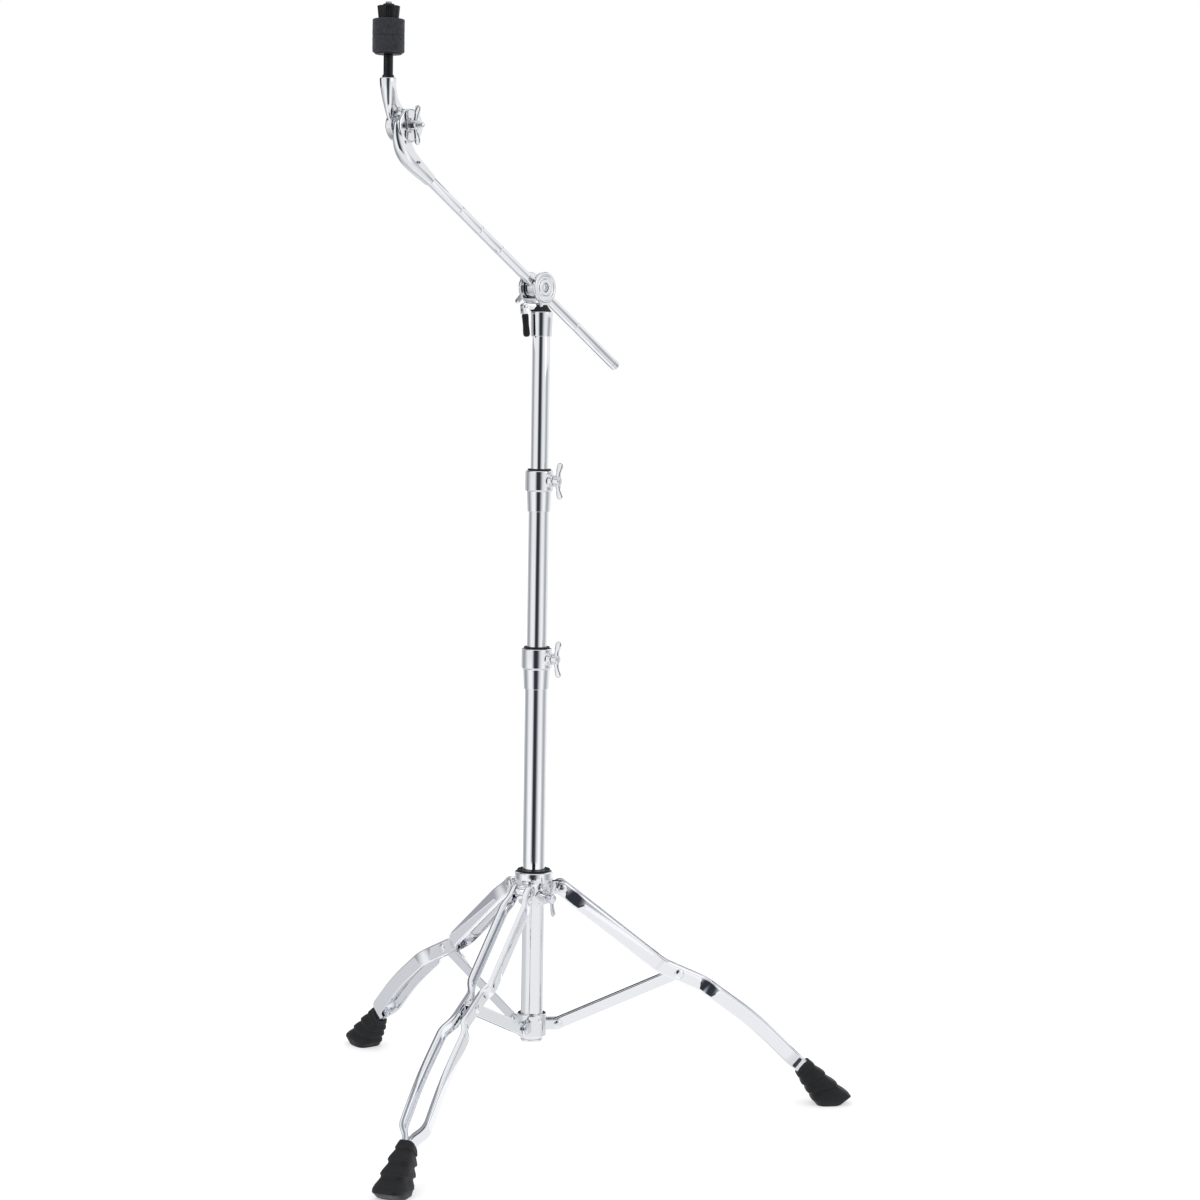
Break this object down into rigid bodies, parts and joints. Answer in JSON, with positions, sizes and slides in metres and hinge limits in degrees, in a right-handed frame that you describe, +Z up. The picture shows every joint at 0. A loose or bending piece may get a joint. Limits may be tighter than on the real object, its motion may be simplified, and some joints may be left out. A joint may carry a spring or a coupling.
{
  "type": "boom cymbal stand",
  "caption": "Free-standing tripod with a telescoping tube column, a tilting and sliding boom rod, a ratchet tilter and a felt-padded cymbal seat.",
  "frame": {"origin": "centre of the bottom of the box around the whole stand, on the floor under its feet", "axes": "+Z up along the column, +X towards the foot of leg 1; the boom's head leans towards -X and -Y"},
  "size_m": [0.6478, 0.7426, 1.3888],
  "materials": {
    "chrome": "bright chrome plate",
    "rubber": "moulded black rubber",
    "black_plastic": "satin black moulding",
    "grey_felt": "dark grey pressed wool felt"
  },
  "bodies": {
    "base": {"base_tube": "chrome", "base_plug": "black_plastic", "lower_collar": "chrome", "base_clamp": "chrome", "base_bushing": "black_plastic", "stay_1_pin": "chrome", "stay_2_pin": "chrome", "stay_3_pin": "chrome"},
    "base_wing": {"base_wing_bolt": "chrome"},
    "middle": {"middle_tube": "chrome", "middle_clamp": "chrome", "middle_bushing": "black_plastic"},
    "middle_wing": {"middle_wing_bolt": "chrome"},
    "upper": {"upper_tube": "chrome"},
    "hub": {"hub_collar": "chrome", "hub_bushing": "black_plastic", "leg_1_hub_pin": "chrome", "leg_2_hub_pin": "chrome", "leg_3_hub_pin": "chrome"},
    "hub_wing": {"hub_wing_bolt": "chrome"},
    "leg_1": {"leg_1_bar_left": "chrome", "leg_1_bar_right": "chrome", "leg_1_foot": "rubber"},
    "leg_2": {"leg_2_bar_left": "chrome", "leg_2_bar_right": "chrome", "leg_2_foot": "rubber"},
    "leg_3": {"leg_3_bar_left": "chrome", "leg_3_bar_right": "chrome", "leg_3_foot": "rubber"},
    "brace_1": {"stay_1": "chrome"},
    "brace_2": {"stay_2": "chrome"},
    "brace_3": {"stay_3": "chrome"},
    "tilter": {"tilter_base": "chrome", "swivel_lever_pin": "chrome", "boom_washer_left": "black_plastic", "boom_washer_right": "black_plastic"},
    "lever": {"swivel_lever": "chrome", "swivel_lever_grip": "black_plastic"},
    "barrel": {"boom_barrel": "chrome"},
    "boom_wing": {"boom_wing_bolt": "chrome"},
    "boom": {"boom_rod": "chrome", "boom_end_cap": "chrome", "tilter_lower_arm": "chrome", "tilter_set_screw": "black_plastic", "tilter_bolt": "chrome", "tilter_washer": "chrome"},
    "tilter_nut": {"tilter_wing_nut": "chrome"},
    "seat": {"tilter_upper_arm": "chrome", "cymbal_stud": "chrome", "cymbal_sleeve": "black_plastic", "cup_washer": "black_plastic"},
    "felt_low": {"lower_felt": "grey_felt"},
    "felt_high": {"upper_felt": "grey_felt"},
    "nut": {"top_nut": "black_plastic"}
  },
  "joints": [
    {"name": "base_wing_turn", "type": "hinge", "parent": "base", "child": "base_wing", "pos_m": [-0.07644, -0.01928, 0.5905], "axis": [0.766, -0.6428, 0], "range_deg": [0, 360]},
    {"name": "middle_slide", "type": "slide", "parent": "base", "child": "middle", "axis": [0, 0, 1], "range_m": [-0.17, 0.24]},
    {"name": "middle_wing_turn", "type": "hinge", "parent": "middle", "child": "middle_wing", "pos_m": [-0.07644, -0.01928, 0.8175], "axis": [0.766, -0.6428, 0], "range_deg": [0, 360]},
    {"name": "upper_slide", "type": "slide", "parent": "middle", "child": "upper", "axis": [0, 0, 1], "range_m": [-0.165, 0.24]},
    {"name": "hub_slide", "type": "slide", "parent": "base", "child": "hub", "axis": [0, 0, 1], "range_m": [0, 0.155]},
    {"name": "hub_wing_turn", "type": "hinge", "parent": "hub", "child": "hub_wing", "pos_m": [-0.08443, -0.02598, 0.285], "axis": [0.5, -0.866, 0], "range_deg": [0, 360]},
    {"name": "leg_1_fold", "type": "hinge", "parent": "hub", "child": "leg_1", "pos_m": [-0.06343, 0, 0.293], "axis": [0, 1, 0], "range_deg": [0, 32.5]},
    {"name": "leg_2_fold", "type": "hinge", "parent": "hub", "child": "leg_2", "pos_m": [-0.11743, 0.03118, 0.293], "axis": [-0.866, -0.5, 0], "range_deg": [0, 32.5]},
    {"name": "leg_3_fold", "type": "hinge", "parent": "hub", "child": "leg_3", "pos_m": [-0.11743, -0.03118, 0.293], "axis": [0.866, -0.5, 0], "range_deg": [0, 32.5]},
    {"name": "stay_1_fold", "type": "hinge", "parent": "base", "child": "brace_1", "pos_m": [-0.06643, 0, 0.114], "axis": [0, -1, 0], "range_deg": [0, 42.6]},
    {"name": "stay_2_fold", "type": "hinge", "parent": "base", "child": "brace_2", "pos_m": [-0.11593, 0.02858, 0.114], "axis": [0.866, 0.5, 0], "range_deg": [0, 42.6]},
    {"name": "stay_3_fold", "type": "hinge", "parent": "base", "child": "brace_3", "pos_m": [-0.11593, -0.02858, 0.114], "axis": [-0.866, 0.5, 0], "range_deg": [0, 42.6]},
    {"name": "head_swivel", "type": "hinge", "parent": "upper", "child": "tilter", "pos_m": [-0.09943, 0, 1.02], "axis": [0, 0, 1], "range_deg": [-180, 180]},
    {"name": "swivel_lock", "type": "hinge", "parent": "tilter", "child": "lever", "pos_m": [-0.12244, -0.00977, 1.0365], "axis": [-0.3907, 0.9205, 0], "range_deg": [0, 95]},
    {"name": "boom_tilt", "type": "hinge", "parent": "tilter", "child": "barrel", "pos_m": [-0.10457, 0.00613, 1.0605], "axis": [-0.6428, 0.766, 0], "range_deg": [-38, 17]},
    {"name": "boom_wing_turn", "type": "hinge", "parent": "barrel", "child": "boom_wing", "pos_m": [-0.10457, 0.00613, 1.0605], "axis": [-0.6428, 0.766, 0], "range_deg": [0, 360]},
    {"name": "boom_slide", "type": "slide", "parent": "barrel", "child": "boom", "axis": [-0.6425, -0.5391, 0.5446], "range_m": [-0.16, 0.12]},
    {"name": "seat_tilt", "type": "hinge", "parent": "boom", "child": "seat", "pos_m": [-0.28427, -0.14466, 1.24587], "axis": [0.6428, -0.766, 0], "range_deg": [-100, 75]},
    {"name": "tilter_nut_turn", "type": "hinge", "parent": "boom", "child": "tilter_nut", "pos_m": [-0.28427, -0.14466, 1.24587], "axis": [0.6428, -0.766, 0], "range_deg": [0, 360]},
    {"name": "lower_felt_lift", "type": "slide", "parent": "seat", "child": "felt_low", "axis": [0, 0, 1], "range_m": [0, 0.03]},
    {"name": "upper_felt_lift", "type": "slide", "parent": "felt_low", "child": "felt_high", "axis": [0, 0, 1], "range_m": [0, 0.03]},
    {"name": "top_nut_lift", "type": "slide", "parent": "felt_high", "child": "nut", "axis": [0, 0, 1], "range_m": [0, 0.04]}
  ],
  "couplings": [
    {"joint": "leg_1_fold", "follows": "hub_slide", "rad_per_m": 3.6394},
    {"joint": "leg_2_fold", "follows": "hub_slide", "rad_per_m": 3.6394},
    {"joint": "leg_3_fold", "follows": "hub_slide", "rad_per_m": 3.6394},
    {"joint": "stay_1_fold", "follows": "hub_slide", "rad_per_m": 4.7918},
    {"joint": "stay_2_fold", "follows": "hub_slide", "rad_per_m": 4.7918},
    {"joint": "stay_3_fold", "follows": "hub_slide", "rad_per_m": 4.7918}
  ]
}
